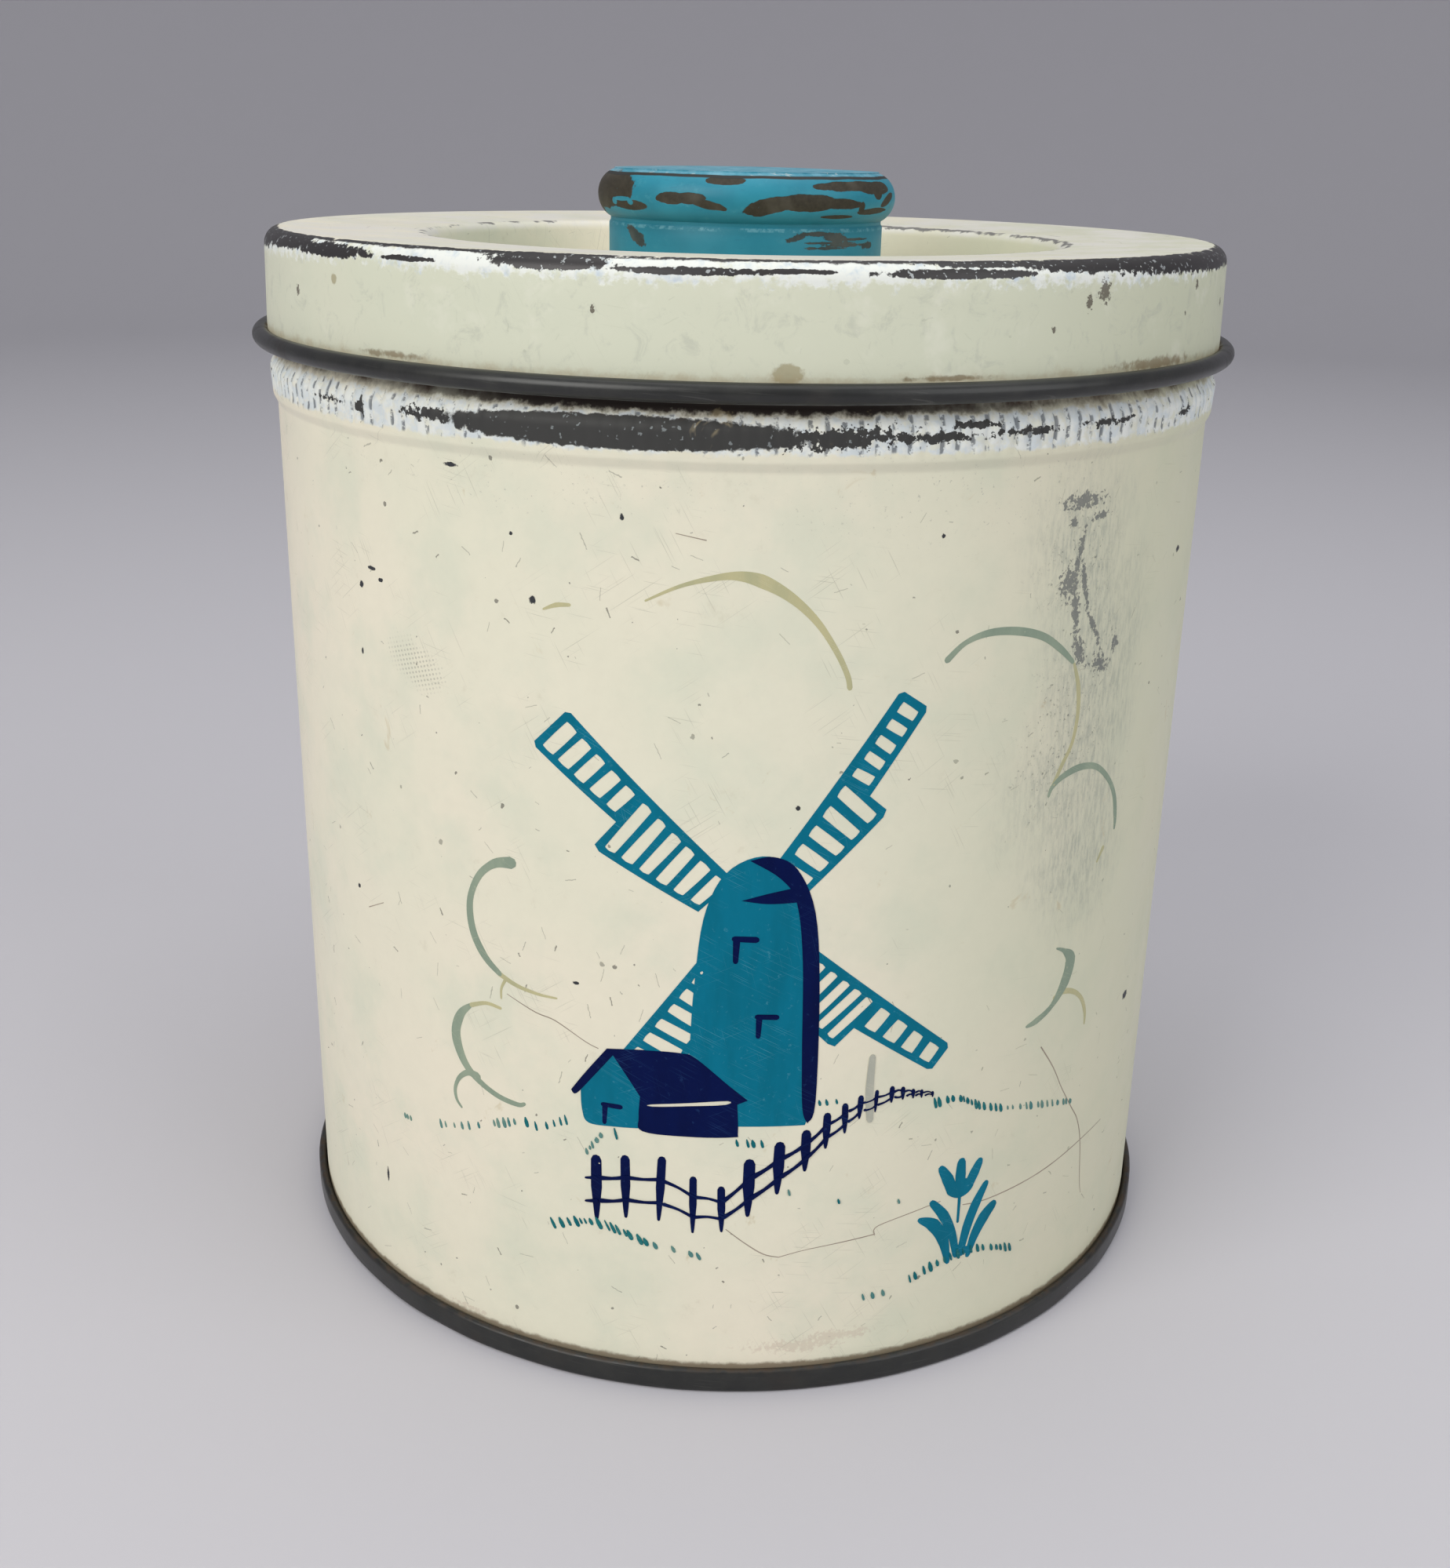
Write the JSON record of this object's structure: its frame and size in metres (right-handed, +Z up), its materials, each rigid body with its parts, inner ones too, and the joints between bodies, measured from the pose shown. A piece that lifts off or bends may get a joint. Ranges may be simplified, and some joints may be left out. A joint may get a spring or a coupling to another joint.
{
  "type": "round kitchen canister with lid",
  "caption": "Round painted tin kitchen canister with a lift-off lid, a wooden knob standing in a sunk well, a knurled bead, a double-seamed base and a blue windmill scene.",
  "frame": {"origin": "middle of the base, on the surface the canister stands on", "axes": "+Z up along the axis of the canister, towards the knob; -Y is the decorated front, so the side seam is at +Y"},
  "size_m": [0.167, 0.167, 0.1882],
  "materials": {
    "body_paint": "worn ivory enamel on tinplate, satin",
    "lid_paint": "worn ivory enamel on tinplate, satin, with a bare dark edge curl",
    "base_steel": "darkened bare tinplate",
    "knob_paint": "turquoise paint worn through to brown wood",
    "screw_steel": "dull steel",
    "washer_steel": "dull steel",
    "decoration_teal": "printed teal paint, satin",
    "decoration_navy": "printed navy paint, satin",
    "decoration_cloud": "thin worn grey-green paint"
  },
  "bodies": {
    "canister": {"body_wall": "body_paint", "base_plate": "base_steel"},
    "lid": {"lid": "lid_paint", "knob": "knob_paint", "knob_screw": "screw_steel", "screw_washer": "washer_steel"}
  },
  "joints": [
    {"name": "lid_lift", "type": "slide", "parent": "canister", "child": "lid", "axis": [0, 0, 1], "range_m": [0, 0.1]}
  ]
}
